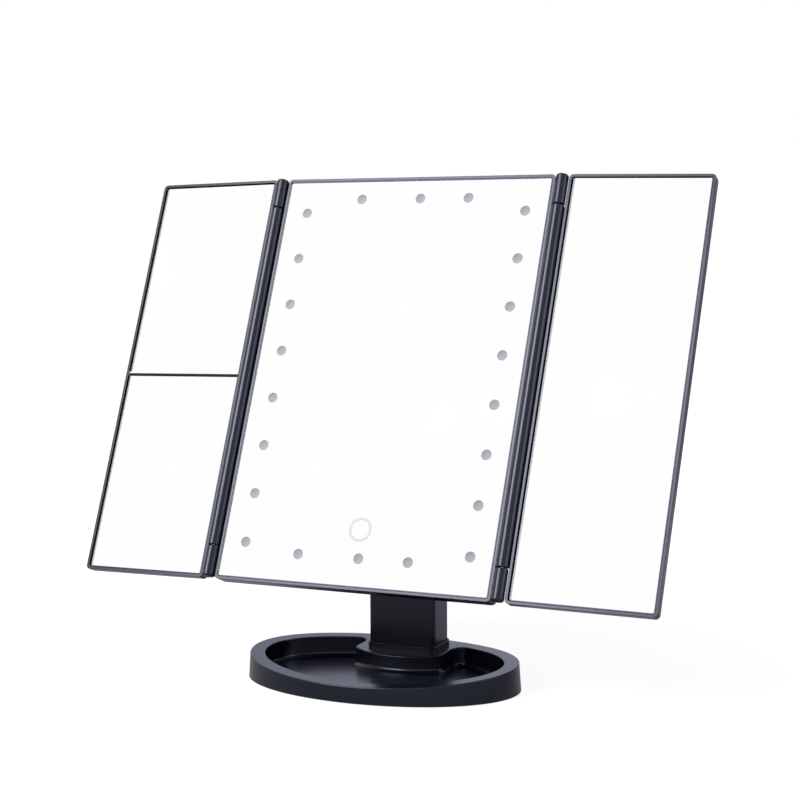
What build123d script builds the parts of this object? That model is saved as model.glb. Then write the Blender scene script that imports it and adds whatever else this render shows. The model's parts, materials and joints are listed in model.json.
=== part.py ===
from build123d import *
import math
import os

# Trifold tabletop vanity mirror: a lit centre panel with a folding panel on each side,
# on a stem that stands in an oval tray base. Millimetres, +Z up, front towards -Y.
# The origin is the middle of the base's footprint, on the table.

# ---- Fits and clearances ----
WALL = 2.0             # moulded wall of the base, the stem cover and the housing
SEAT_GAP = 0.6         # round each glass in its seat
COVER_GAP = 0.3        # round covers, doors and the stem in their openings
SLIDE_GAP = 0.3        # between sliding pieces
RUNNING_FIT = 0.06     # radial, of a pin in a bore that turns on it
PRESSED_FIT = 0.02     # radial, of a pin in a bore that holds it
KNUCKLE_GAP = 0.5      # between neighbouring knuckles of a fold hinge
PANEL_GAP = 0.3        # between the end knuckles and the edge of a side panel
COVE_GAP = 0.4         # between a barrel and the hollow strip behind it
SCREW_FIT = 0.1        # round a screw in its hole

# ---- Base: oval tray with a sloping, dished rim ----
BASE_LENGTH = 160.4    # along X, at the bottom edge
BASE_DEPTH = 105.0     # along Y
BASE_DRAFT = 0.85      # the side leans in by this much up to the rim
RIM_HEIGHT = 12.5      # top of the rim surface at the origin
RIM_SLOPE = 3.3        # degrees, rising to the back
RIM_END_RISE = 3.1     # of the rim's two ends above its middle
RIM_WIDTH = 8.6        # flat band round the well
RIM_ROUND = 0.5        # on the rim's two edges
WELL_FLOOR = 4.2       # height of the well's floor
FLOOR_WALL = 1.6
WELL_ROUND = 2.2       # between the well's wall and floor
ISLAND_HALF_WIDTH = 27.0
SHOULDER_REACH = 3.8       # of the island's two front corners in front of the stem
NOSE_REACH = 13.4          # of the middle of its bulging front
ISLAND_CORNER = 4.5        # plan radius of those corners
ISLAND_SWEEP = 6.0         # plan radius where the island runs into the rim
SKIRT = 0.6                # gap under the tray's outer wall
COVER_PLATE = 2.0          # bottom cover
RING_END_INSET = 10.2      # of the soft ring that the base stands on, from the base's ends
RING_SIDE_INSET = 8.5      # from its front and rear edges
RING_WIDTH = 6.0
RING_THICK = 1.5
BASE_BOSS_RADIUS = 3.1
BASE_SCREW_ANGLES = (38.0, 142.0, 218.0, 322.0)

# ---- Stem ----
STEM_WIDTH = 40.9
STEM_DEPTH = 20.8
STEM_TO_REAR = 8.5         # from its back face to the base's rear edge
STEM_CORNER = 3.0
STEM_WALL = 2.6
STEM_RIBS = 4
STEM_RIB_THICK = 1.5
COLLAR_HEIGHT = 3.0
COLLAR_BAND = 1.1
COLLAR_BEVEL = 0.4         # on its front edge
PIVOT_HEIGHT = 156.5       # of the tilt axis above the table
KNUCKLE_SOLID = 16.0       # length of the solid stem head below the tilt axis
STEM_SCREW_SPREAD = 13.0   # of the two foot screws from the middle
STEM_BOSS_RIB = 1.6        # thickness of the rib that ties each screw boss to the front wall

# ---- Tilt hinge ----
LEAN = 22.5                # of the head from upright, as modelled, degrees
PIVOT_BEHIND = 32.5        # from the glass face back to the tilt axis
PIVOT_BELOW = 0.1          # of the tilt axis below the panel's middle
TILT_BOLT_RADIUS = 3.0
BOLT_PLAY = 0.5            # round the bolt between its bushes
BOLT_HEAD_RADIUS = 5.6
BOLT_HEAD = 3.2
BOLT_DOME = 1.4            # rounding of the head
BOLT_SOCKET_RADIUS = 2.0
BOLT_SOCKET = 1.8          # depth of the hexagon socket
BOLT_TIP = 1.0             # of the bolt beyond its nut
NUT_RADIUS = 5.6           # over the nut's corners
NUT_HEIGHT = 4.5
BUSH_WALL = 1.5
BUSH_LENGTH = 12.0
WASHER_RADIUS = 8.0
WASHER_THICK = 0.8
WASHER_GAP = 0.2
EAR_THICK = 4.5
EAR_RADIUS = 9.0
EAR_ROOT = 34.0            # length of each ear's foot along the panel
EAR_ROUND = 0.8
BRACKET_PLATE = 2.5
BRACKET_WIDTH = 64.0
BRACKET_HEIGHT = 42.0
BRACKET_CORNER = 4.0
BRACKET_SCREW_X = 28.0
BRACKET_SCREW_Z = 15.0
BRACKET_BOSS = 7.0         # depth of the screw bosses from the housing's back

# ---- Head: the panel frame has X across, Z up from the bottom edge, Y back from the glass face ----
GLASS = 2.0
GLASS_CORNER = 0.8         # ground corners
BEZEL_PROUD = 0.3
RIM = 1.55                 # frame wall round each glass
PANEL_CORNER = 2.5
BACK_ROUND = 1.5
LEDGE = 3.0                # shelf behind the edge of each glass
FRAME_RIB = 2.0            # thickness of the ribs from the lamp rails to the frame's sides
CENTRE_GLASS_WIDTH = 160.8
GLASS_HEIGHT = 233.1
CENTRE_DEPTH = 9.5
BACK_WALL = 2.0
SIDE_GLASS_WIDTH = 76.5
SIDE_DEPTH = 6.0
SIDE_LEDGE = 1.6
SIDE_BACK_PLATE = 1.8
SIDE_RIBS = 5
SIDE_RIB_THICK = 1.2
DIVIDER_BELOW = 0.8        # middle of the left panel's cross bar below the panel's middle
DIVIDER_WIDTH = 1.3

# ---- Fold hinges ----
FOLD_AXIS_X = 86.5
FOLD_AXIS_FRONT = 0.5      # of the axis in front of the glass face
BARREL_RADIUS = 3.5
BARREL_ROUND = 0.5         # where knuckles meet
END_KNUCKLE = 17.4
KNUCKLE_ROUND = 1.2        # free ends of the end knuckles
HINGE_PIN_RADIUS = 1.25
HINGE_PIN_SHORT = 0.5      # of the rod from the bore's closed end
HINGE_PIN_SUNK = 1.0       # of the rod from the bore's open end
BLIND_END = 4.0            # closed end of the top knuckle
WEB_FRONT = 0.9            # webs that carry the knuckles, back from the glass face
WEB_ROOT = 0.5             # of each web inside its frame
COVE_WALL = 1.6            # hollow strip of the centre frame behind each barrel
LEFT_BACK_FOLD = 3.2       # of the left panel behind flat, as modelled, degrees
RIGHT_BACK_FOLD = 2.4

# ---- Lighting and control ----
LED_COLUMN_X = 67.6
LED_FIRST = 22.9           # height of the lowest lamp in a column
LED_LAST_BELOW = 21.02     # of the highest lamp below the panel's top edge
LEDS_IN_COLUMN = 8
LED_ROW_BELOW = 12.9       # of the upper row below the panel's top edge
LED_ROW_BOTTOM = 17.3
LED_ROW_X = (-33.5, 3.0, 32.3)
LED_LENGTH = 3.5
LED_WIDTH = 2.8
LED_HEIGHT = 1.9
LED_TO_GLASS = 0.3
STRIP_WIDTH = 8.0
STRIP_THICK = 1.0
STRIP_END = 7.0            # of a strip beyond its last lamp
TOUCH_X = 1.6
TOUCH_HEIGHT = 33.3
TOUCH_PAD_RADIUS = 6.0
TOUCH_PAD_THICK = 0.3
TOUCH_PILLAR_RADIUS = 3.0

# ---- Back housing ----
HOUSING_HALF_WIDTH = 40.0
HOUSING_BOTTOM = 14.0
HOUSING_BELOW = 23.4       # of the housing's top below the panel's top edge
HOUSING_RISE = 9.0         # behind the frame's back
HOUSING_CORNER = 9.0
HOUSING_ROUND = 3.5
FLANGE = 1.5
OPENING_HALF_WIDTH = 28.0  # window in the frame's back wall
OPENING_BOTTOM = 26.0
OPENING_MARGIN = 10.0      # of the window's top below the housing's top
OPENING_CORNER = 4.0
LIP_WALL = 1.4
LIP_DEPTH = 1.6
HOUSING_SCREW_X = 34.0
HOUSING_SCREW_MARGIN = 14.0    # from the housing's top and bottom edges
HOUSING_SCREW_SEAT = 4.0   # depth of the screw heads' seats behind the frame
HOUSING_POST_WALL = 0.6    # of the housing's screw posts beyond those of the frame
BOARD_WIDTH = 40.0
BOARD_LOW = 16.4
BOARD_HIGH = 84.0
BOARD_FOOT = 16.0          # of the lower pair of screws above the board's lower edge
BOARD_SCREW_EDGE = 4.0     # of the screws from the board's sides
BOARD_THICK = 1.6
BOARD_CORNER = 1.5
BOARD_BEHIND = 11.4        # of the board's front, back from the glass face
CHIP = 8.0                 # square driver chip
CHIP_HIGH = 1.6
CHIP_FOOT = 33.6           # of its middle above the board's lower edge
COIL_RADIUS = 4.0
COIL_HIGH = 2.4
COIL_X = 8.0
COIL_FOOT = 47.6
USB_WIDTH = 7.6
USB_HEIGHT = 2.7
USB_LENGTH = 5.4
USB_WALL = 0.4
USB_SUNK = 0.4             # of its mouth inside the housing's bottom face
TONGUE_WIDTH = 5.2
TONGUE_THICK = 0.6
SWITCH_X = 29.0
SWITCH_HEIGHT = 62.0
SWITCH_TRAVEL = 4.0
KNOB_LENGTH = 6.0
KNOB_WIDTH = 4.4
KNOB_PROUD = 1.6
KNOB_SUNK = 2.0            # of the knob below the housing's inside
KNOB_GROOVES = 3
KNOB_GROOVE_PITCH = 1.8
KNOB_GROOVE_WIDTH = 0.7
KNOB_GROOVE_DEPTH = 0.5
SWITCH_BODY_LENGTH = 15.0
SWITCH_BODY_WIDTH = 6.4
SWITCH_BODY_HEIGHT = 3.6

# ---- Batteries ----
CELL_RADIUS = 5.25
CELL_LENGTH = 44.5
CELL_BUTTON_RADIUS = 1.9
CELL_BUTTON = 1.0
CELLS = 4
CELL_PITCH = 11.4
CELL_BELOW = 63.0          # of the cells' lower ends below the housing's top
CELL_PLAY = 0.4            # beside the outer cells
CELL_END_PLAY = 0.2
CONTACT = 0.4
CONTACT_WIDTH = 8.0
SPRING_LENGTH = 2.2
SPRING_WIDE = 3.6          # outer radius against the plate
SPRING_NARROW = 2.6        # against the cell
SPRING_WALL = 0.6
BAY_WALL = 1.4
DOOR_HALF_WIDTH = 26.5
DOOR_BELOW = 69.5          # of the door's lower edge below the housing's top
TAB = 2.0                  # door tabs that run under the housing's back
TAB_NECK = 1.6
TAB_THICK = 1.4
TAB_LENGTH = 9.0
TABS_BELOW = (62.0, 37.0)
GRIP_RIBS = 5
GRIP_HALF_WIDTH = 9.0
GRIP_WIDTH = 1.4
GRIP_PITCH = 3.2
GRIP_PROUD = 0.5
GRIP_BELOW = 16.0          # of the uppermost rib below the housing's top

# ---- Screws ----
SCREW_RADIUS = 1.4
SCREW_HEAD_RADIUS = 2.7
SCREW_HEAD = 1.7
PAN_HEAD = 1.2             # height of a flat-bottomed head
CROSS_REACH = 1.6          # of the cross slot from the middle
CROSS_WIDTH = 0.7
CROSS_DEPTH = 0.8
PILOT_WALL = 1.9           # plastic round a screw
BASE_SCREW = 7.0           # lengths
STEM_SCREW = 11.0
BRACKET_SCREW = 8.0
HOUSING_SCREW = 9.0
BOARD_SCREW = 4.6

# ---- Sizes that follow ----
STEM_FRONT = BASE_DEPTH / 2 - STEM_TO_REAR - STEM_DEPTH
STEM_MIDDLE = STEM_FRONT + STEM_DEPTH / 2
COVER_TOP = SKIRT + COVER_PLATE
EDGE = RIM + SEAT_GAP
PANEL_HEIGHT = GLASS_HEIGHT + 2 * EDGE
PIVOT_UP = PANEL_HEIGHT / 2 - PIVOT_BELOW
CENTRE_HALF_WIDTH = CENTRE_GLASS_WIDTH / 2 + EDGE
HOUSING_TOP = PANEL_HEIGHT - HOUSING_BELOW
HOUSING_BACK = CENTRE_DEPTH + HOUSING_RISE
HOUSING_INSIDE = HOUSING_BACK - WALL
SIDE_INNER = FOLD_AXIS_X + BARREL_RADIUS + PANEL_GAP
SIDE_OUTER = SIDE_INNER + SIDE_GLASS_WIDTH + 2 * EDGE
EAR_INNER = STEM_WIDTH / 2 + WASHER_THICK + WASHER_GAP
EAR_OUTER = EAR_INNER + EAR_THICK
BOSS_RADIUS = SCREW_RADIUS + PILOT_WALL
CELL_LOW = HOUSING_TOP - CELL_BELOW
CELL_BEHIND = HOUSING_INSIDE - CELL_RADIUS - COVER_GAP
BAY_HALF_WIDTH = (CELLS - 1) * CELL_PITCH / 2 + CELL_RADIUS + CELL_PLAY
BAY_LOW = CELL_LOW - SPRING_LENGTH - CONTACT
BAY_HIGH = CELL_LOW + CELL_LENGTH + CELL_BUTTON + CONTACT + CELL_END_PLAY
LED_PITCH = (PANEL_HEIGHT - LED_LAST_BELOW - LED_FIRST) / (LEDS_IN_COLUMN - 1)
LED_FACE = GLASS + LED_TO_GLASS
STRIP_FRONT = LED_FACE + LED_HEIGHT
STRIP_BACK = STRIP_FRONT + STRIP_THICK
BACK_WALL_FRONT = CENTRE_DEPTH - BACK_WALL
PIVOT = (0, STEM_MIDDLE, PIVOT_HEIGHT)
HEAD = Pos(*PIVOT) * Rot(-LEAN, 0, 0) * Pos(0, -PIVOT_BEHIND, -PIVOT_UP)


# ---- Shape helpers ----

def block(x_range, y_range, z_range):
    """Box between three pairs of limits."""
    limits = (x_range, y_range, z_range)
    middle = [(low + high) / 2 for low, high in limits]
    size = [high - low for low, high in limits]
    return Pos(*middle) * Box(*size)


def slab(x_range, z_range, y_range, corner):
    """Upright plate with rounded corners, its outline in X and Z, its thickness along Y."""
    outline = RectangleRounded(x_range[1] - x_range[0], z_range[1] - z_range[0], corner)
    middle = Pos((x_range[0] + x_range[1]) / 2, (z_range[0] + z_range[1]) / 2)
    return extrude(Plane.XZ.offset(-y_range[1]) * middle * outline, amount=y_range[1] - y_range[0])


def post(x, z, y_range, radius):
    """Cylinder along Y through the panel's thickness."""
    return extrude(Plane.XZ.offset(-y_range[1]) * Pos(x, z) * Circle(radius), amount=y_range[1] - y_range[0])


def upright(x, y, z_range, radius):
    """Cylinder along Z."""
    return Pos(x, y, z_range[0]) * extrude(Circle(radius), amount=z_range[1] - z_range[0])


def crossbar(x_range, y, z, radius):
    """Cylinder along X."""
    return extrude(Plane.YZ.offset(x_range[0]) * Pos(y, z) * Circle(radius), amount=x_range[1] - x_range[0])


def screw(length):
    """Countersunk screw along +Z, its flat head at the origin and its point at +length."""
    shank = extrude(Circle(SCREW_RADIUS), amount=length)
    head = Cone(SCREW_HEAD_RADIUS, SCREW_RADIUS, SCREW_HEAD, align=(Align.CENTER, Align.CENTER, Align.MIN))
    arm = block((-CROSS_REACH, CROSS_REACH), (-CROSS_WIDTH / 2, CROSS_WIDTH / 2), (0, CROSS_DEPTH))
    return shank + head - arm - Rot(0, 0, 90) * arm


def screw_hole(length):
    """Countersunk hole that takes screw(length)."""
    head = Cone(SCREW_HEAD_RADIUS + SCREW_FIT, SCREW_RADIUS + SCREW_FIT, SCREW_HEAD,
                align=(Align.CENTER, Align.CENTER, Align.MIN))
    return extrude(Circle(SCREW_RADIUS + SCREW_FIT), amount=length + SCREW_FIT) + head


def in_from_back(x, z, y):
    """Place that turns a screw to point towards -Y, its head at depth y."""
    return Pos(x, y, z) * Rot(90, 0, 0)


# ---- Base ----

def oval_block(margin, z_low, z_high):
    """Oval block with the base's draft, drawn in from the base's side by margin."""
    ends = []
    for z in (z_low, z_high):
        inset = margin + BASE_DRAFT * z / RIM_HEIGHT
        ends.append(Pos(0, 0, z) * Ellipse(BASE_LENGTH / 2 - inset, BASE_DEPTH / 2 - inset))
    return loft(ends, ruled=True)


def above_rim(drop):
    """All that lies above the rim surface lowered by drop: an arc along X, sheared up to the back."""
    reach = BASE_LENGTH
    depth = BASE_DEPTH
    rise = RIM_END_RISE * (reach / (BASE_LENGTH / 2)) ** 2
    slope = math.tan(math.radians(RIM_SLOPE))
    start = RIM_HEIGHT - drop - slope * depth
    sky = start + rise + 4 * RIM_HEIGHT
    dish = ThreePointArc((-reach, start + rise), (0, start), (reach, start + rise))
    sides = Polyline((reach, start + rise), (reach, sky), (-reach, sky), (-reach, start + rise))
    face = Plane.XZ.offset(depth) * make_face([dish, *sides.edges()])
    return extrude(face, amount=2 * depth * math.hypot(1, slope), dir=(0, 1, slope))


def well_outline(grow):
    """Plan of the two-lobed well: the oval inside the rim, less the island that carries the stem."""
    inset = BASE_DRAFT + RIM_WIDTH - grow
    half = ISLAND_HALF_WIDTH - grow
    shoulder = STEM_FRONT - SHOULDER_REACH + grow
    nose = ThreePointArc((-half, shoulder), (0, STEM_FRONT - NOSE_REACH + grow), (half, shoulder))
    back = Polyline((half, shoulder), (half, BASE_DEPTH), (-half, BASE_DEPTH), (-half, shoulder))
    outline = Ellipse(BASE_LENGTH / 2 - inset, BASE_DEPTH / 2 - inset) - make_face([nose, *back.edges()])
    corners = [v for v in outline.vertices() if abs(v.Y - shoulder) < 0.1]
    outline = fillet(corners, ISLAND_CORNER - grow)
    joins = [v for v in outline.vertices() if v.Y > shoulder + ISLAND_CORNER + 2]
    return fillet(joins, ISLAND_SWEEP + grow)


def well(grow, floor):
    """The well as a solid, grown sideways by grow, from the height floor upwards."""
    solid = Pos(0, 0, floor) * extrude(well_outline(grow), amount=3 * RIM_HEIGHT)
    return fillet(solid.faces().sort_by(Axis.Z)[0].edges(), WELL_ROUND)


def base_screw_places():
    """The bottom cover's screws stand under the middle of the rim."""
    places = []
    for angle in BASE_SCREW_ANGLES:
        turn = math.radians(angle)
        inset = BASE_DRAFT + RIM_WIDTH / 2
        x = (BASE_LENGTH / 2 - inset) * math.cos(turn)
        y = (BASE_DEPTH / 2 - inset) * math.sin(turn)
        places.append((x, y))
    return places


def stem_outline(grow):
    """Rounded oblong of the stem, grown by grow all round."""
    return Pos(0, STEM_MIDDLE) * RectangleRounded(
        STEM_WIDTH + 2 * grow, STEM_DEPTH + 2 * grow, STEM_CORNER + grow)


def base_tray():
    """Oval shell: outer wall, rim band, two-lobed well and the island, hollow underneath."""
    top = 3 * RIM_HEIGHT
    body = oval_block(0, SKIRT, top) - above_rim(0) - well(0, WELL_FLOOR)
    rim_edges = [e for e in body.edges() if e.bounding_box().min.Z > WELL_FLOOR + WELL_ROUND + 1
                 and e.bounding_box().size.X > ISLAND_CORNER]
    body = fillet(rim_edges, RIM_ROUND)
    hollow = oval_block(WALL, 0, top) - above_rim(WALL) - well(WALL, WELL_FLOOR - FLOOR_WALL)
    for x, y in base_screw_places():
        hollow -= upright(x, y, (COVER_TOP, top), BASE_BOSS_RADIUS)
    body -= hollow
    for x, y in base_screw_places():
        body -= upright(x, y, (COVER_TOP - 1, COVER_TOP + 5), SCREW_RADIUS + PRESSED_FIT)
    return body - Pos(0, 0, COVER_TOP) * extrude(stem_outline(COVER_GAP), amount=top)


def oval_ring(gap):
    """Flat oval ring on the table, grown by gap on both its edges."""
    half_length = BASE_LENGTH / 2 - RING_END_INSET
    half_depth = BASE_DEPTH / 2 - RING_SIDE_INSET
    outer = Ellipse(half_length + gap, half_depth + gap)
    inner = Ellipse(half_length - RING_WIDTH - gap, half_depth - RING_WIDTH - gap)
    return extrude(outer - inner, amount=RING_THICK)


def base_cover():
    """Bottom plate inside the tray's outer wall, with the ring's groove and screw holes."""
    plate = oval_block(WALL + COVER_GAP, SKIRT, COVER_TOP) - oval_ring(COVER_GAP)
    for x, y in base_screw_places():
        plate -= Pos(x, y, SKIRT) * screw_hole(COVER_PLATE + 1)
    for side in (-1, 1):
        plate -= Pos(side * STEM_SCREW_SPREAD, STEM_MIDDLE, SKIRT) * screw_hole(COVER_PLATE + 1)
    return plate


def base_ring():
    """Soft ring let into the bottom cover, on which the mirror stands."""
    return oval_ring(0)


def base_screws():
    """Screws that hold the bottom cover under the rim."""
    return [Pos(x, y, SKIRT) * screw(BASE_SCREW) for x, y in base_screw_places()]


# ---- Stem ----

def stem_shell():
    """Hollow upright: closed at the front and sides, open at the back, with a round hinge head."""
    radius = STEM_DEPTH / 2
    height = PIVOT_HEIGHT + radius - COVER_TOP
    column = Pos(0, 0, COVER_TOP) * extrude(stem_outline(0), amount=height)
    half = STEM_WIDTH / 2
    trunk = block((-half, half), (STEM_FRONT, STEM_FRONT + STEM_DEPTH), (COVER_TOP, PIVOT_HEIGHT))
    column &= trunk + crossbar((-half, half), STEM_MIDDLE, PIVOT_HEIGHT, radius)
    ceiling = PIVOT_HEIGHT - KNUCKLE_SOLID
    inside = (-half + STEM_WALL, half - STEM_WALL)
    back = STEM_FRONT + STEM_DEPTH
    column -= block(inside, (STEM_FRONT + STEM_WALL, back + 1), (COVER_TOP, ceiling))
    step = (ceiling - COVER_TOP) / (STEM_RIBS + 1)
    for i in range(STEM_RIBS):
        z = COVER_TOP + (i + 1) * step
        column += block(inside, (STEM_FRONT + STEM_WALL - 1, back - WALL), (z, z + STEM_RIB_THICK))
    for side in (-1, 1):
        x = side * STEM_SCREW_SPREAD
        boss = upright(x, STEM_MIDDLE, (COVER_TOP, COVER_TOP + step), BOSS_RADIUS)
        web = block((x - STEM_BOSS_RIB / 2, x + STEM_BOSS_RIB / 2),
                    (STEM_FRONT + STEM_WALL - 1, STEM_MIDDLE), (COVER_TOP, COVER_TOP + step))
        column += boss + web
        column -= upright(x, STEM_MIDDLE, (COVER_TOP - 1, COVER_TOP + STEM_SCREW + 1),
                          SCREW_RADIUS + PRESSED_FIT)
        outer = side * half
        inner = side * (half - BUSH_LENGTH)
        column -= crossbar((min(outer, inner), max(outer, inner)), STEM_MIDDLE, PIVOT_HEIGHT,
                           TILT_BOLT_RADIUS + BUSH_WALL + PRESSED_FIT)
    return column - crossbar((-half, half), STEM_MIDDLE, PIVOT_HEIGHT, TILT_BOLT_RADIUS + BOLT_PLAY)


def stem_rear_cover():
    """Plate that closes the back of the stem, let in between its side walls."""
    half = STEM_WIDTH / 2 - STEM_WALL - COVER_GAP
    back = STEM_FRONT + STEM_DEPTH
    low = COVER_TOP + COVER_GAP
    high = PIVOT_HEIGHT - KNUCKLE_SOLID - COVER_GAP
    return block((-half, half), (back - WALL, back), (low, high))


def stem_collar():
    """Stepped ring round the stem's foot, on the island, its top parallel to the rim."""
    ring = extrude(stem_outline(COLLAR_BAND) - stem_outline(COVER_GAP), amount=4 * RIM_HEIGHT)
    body = (ring & above_rim(0)) - above_rim(-COLLAR_HEIGHT)
    outer = [e for e in body.edges() if e.bounding_box().min.Z > RIM_HEIGHT + COLLAR_HEIGHT * 0.8
             and e.bounding_box().size.X > STEM_WIDTH - 2 * STEM_CORNER - 1]
    front = sorted(outer, key=lambda e: e.center().Y)[0]
    return chamfer([front], COLLAR_BEVEL)


def stem_screws():
    """Screws from below, through the bottom cover, into the stem's foot."""
    return [Pos(side * STEM_SCREW_SPREAD, STEM_MIDDLE, SKIRT) * screw(STEM_SCREW) for side in (-1, 1)]


def tilt_bushes():
    """Sleeves in the stem head that the tilt bolt turns in."""
    bushes = []
    half = STEM_WIDTH / 2
    for x_range in ((-half, -half + BUSH_LENGTH), (half - BUSH_LENGTH, half)):
        sleeve = crossbar(x_range, STEM_MIDDLE, PIVOT_HEIGHT, TILT_BOLT_RADIUS + BUSH_WALL)
        bushes.append(sleeve - crossbar(x_range, STEM_MIDDLE, PIVOT_HEIGHT, TILT_BOLT_RADIUS + RUNNING_FIT))
    return bushes


def tilt_washers():
    """Friction washers between the stem head and the bracket's ears."""
    washers = []
    half = STEM_WIDTH / 2
    for x_range in ((-half - WASHER_THICK, -half), (half, half + WASHER_THICK)):
        disc = crossbar(x_range, STEM_MIDDLE, PIVOT_HEIGHT, WASHER_RADIUS)
        washers.append(disc - crossbar(x_range, STEM_MIDDLE, PIVOT_HEIGHT, TILT_BOLT_RADIUS + RUNNING_FIT))
    return washers


# ---- Tilt hinge, in the panel frame ----

def tilt_bracket():
    """Plate on the housing with two round-nosed ears that reach back to the tilt axis."""
    back = HOUSING_BACK + BRACKET_PLATE
    x_range = (-BRACKET_WIDTH / 2, BRACKET_WIDTH / 2)
    z_range = (PIVOT_UP - BRACKET_HEIGHT / 2, PIVOT_UP + BRACKET_HEIGHT / 2)
    body = slab(x_range, z_range, (HOUSING_BACK, back), BRACKET_CORNER)
    nose = Pos(PIVOT_BEHIND, PIVOT_UP) * Circle(EAR_RADIUS)
    root = Pos(back - BRACKET_PLATE / 2, PIVOT_UP) * Rectangle(BRACKET_PLATE / 2, EAR_ROOT)
    profile = make_hull([*nose.edges(), *root.edges()])
    for x in (-EAR_OUTER, EAR_INNER):
        ear = extrude(Plane.YZ.offset(x) * profile, amount=EAR_THICK)
        body += fillet(ear.edges().filter_by(GeomType.CIRCLE), EAR_ROUND)
    body -= crossbar((-EAR_OUTER, EAR_OUTER), PIVOT_BEHIND, PIVOT_UP, TILT_BOLT_RADIUS + PRESSED_FIT)
    for x, z in bracket_screw_places():
        body -= in_from_back(x, z, back) * screw_hole(BRACKET_PLATE + 1)
    return body


def bracket_screw_places():
    """Four corners of the bracket's plate."""
    return [(x * BRACKET_SCREW_X, PIVOT_UP + z * BRACKET_SCREW_Z) for x in (-1, 1) for z in (-1, 1)]


def bracket_screws():
    """Screws that hold the bracket on the housing."""
    back = HOUSING_BACK + BRACKET_PLATE
    return [in_from_back(x, z, back) * screw(BRACKET_SCREW) for x, z in bracket_screw_places()]


def tilt_bolt():
    """Bolt along the tilt axis, with a domed head outside the right ear."""
    end = -EAR_OUTER - NUT_HEIGHT - BOLT_TIP
    top = EAR_OUTER + BOLT_HEAD
    shank = crossbar((end, EAR_OUTER), PIVOT_BEHIND, PIVOT_UP, TILT_BOLT_RADIUS)
    head = crossbar((EAR_OUTER, top), PIVOT_BEHIND, PIVOT_UP, BOLT_HEAD_RADIUS)
    rim = head.faces().sort_by(Axis.X)[-1].edges()
    socket = Pos(PIVOT_BEHIND, PIVOT_UP) * RegularPolygon(BOLT_SOCKET_RADIUS, 6)
    cut = extrude(Plane.YZ.offset(top - BOLT_SOCKET) * socket, amount=BOLT_SOCKET + 1)
    return shank + fillet(rim, BOLT_DOME) - cut


def tilt_nut():
    """Hexagon nut outside the left ear."""
    outer = -EAR_OUTER - NUT_HEIGHT
    nut = Plane.YZ.offset(outer) * Pos(PIVOT_BEHIND, PIVOT_UP) * RegularPolygon(NUT_RADIUS, 6)
    bore = crossbar((outer, -EAR_OUTER), PIVOT_BEHIND, PIVOT_UP, TILT_BOLT_RADIUS + PRESSED_FIT)
    return extrude(nut, amount=NUT_HEIGHT) - bore


# ---- Panels ----

def glass_plate(x_range, z_range):
    """Flat mirror with small ground corners."""
    return slab(x_range, z_range, (0, GLASS), GLASS_CORNER)


def glass_seat(x_range, z_range):
    """Recess that takes glass_plate from the front."""
    wide = (x_range[0] - SEAT_GAP, x_range[1] + SEAT_GAP)
    high = (z_range[0] - SEAT_GAP, z_range[1] + SEAT_GAP)
    return slab(wide, high, (-BEZEL_PROUD - 1, GLASS), GLASS_CORNER + SEAT_GAP)


def led_strips():
    """Outline of each lamp strip and its lamps: two upright columns and two short rows."""
    column = [LED_FIRST + i * LED_PITCH for i in range(LEDS_IN_COLUMN)]
    strips = []
    for x in (-LED_COLUMN_X, LED_COLUMN_X):
        x_range = (x - STRIP_WIDTH / 2, x + STRIP_WIDTH / 2)
        z_range = (column[0] - STRIP_END, column[-1] + STRIP_END)
        strips.append((x_range, z_range, [(x, z) for z in column]))
    for z in (LED_ROW_BOTTOM, PANEL_HEIGHT - LED_ROW_BELOW):
        x_range = (LED_ROW_X[0] - STRIP_END, LED_ROW_X[-1] + STRIP_END)
        z_range = (z - STRIP_WIDTH / 2, z + STRIP_WIDTH / 2)
        strips.append((x_range, z_range, [(x, z) for x in LED_ROW_X]))
    return strips


def knuckle(x, z_range, low_round, high_round):
    """Round hinge knuckle on the fold axis, with a rounding at each end."""
    body = upright(x, -FOLD_AXIS_FRONT, z_range, BARREL_RADIUS)
    body = fillet(body.faces().sort_by(Axis.Z)[0].edges(), low_round)
    return fillet(body.faces().sort_by(Axis.Z)[-1].edges(), high_round)


def knuckle_web(x_range, z_range):
    """Strip that joins a knuckle to its frame, set back so that a groove shows at the front."""
    return block(x_range, (WEB_FRONT, BARREL_RADIUS - FOLD_AXIS_FRONT), z_range)


def hinge_cove(side):
    """Strip along the centre frame's edge, hollowed round the barrel, that closes the fold from behind."""
    x_range = sorted((side * (CENTRE_HALF_WIDTH - WEB_ROOT), side * FOLD_AXIS_X))
    hollow = BARREL_RADIUS + COVE_GAP
    end = KNUCKLE_GAP + KNUCKLE_ROUND
    z_range = (end, PANEL_HEIGHT - end)
    strip = block(x_range, (WEB_FRONT, hollow - FOLD_AXIS_FRONT + COVE_WALL), z_range)
    return strip - upright(side * FOLD_AXIS_X, -FOLD_AXIS_FRONT, z_range, hollow)


def housing_screw_places():
    """Four corners of the housing."""
    heights = (HOUSING_BOTTOM + HOUSING_SCREW_MARGIN, HOUSING_TOP - HOUSING_SCREW_MARGIN)
    return [(x * HOUSING_SCREW_X, z) for x in (-1, 1) for z in heights]


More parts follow.
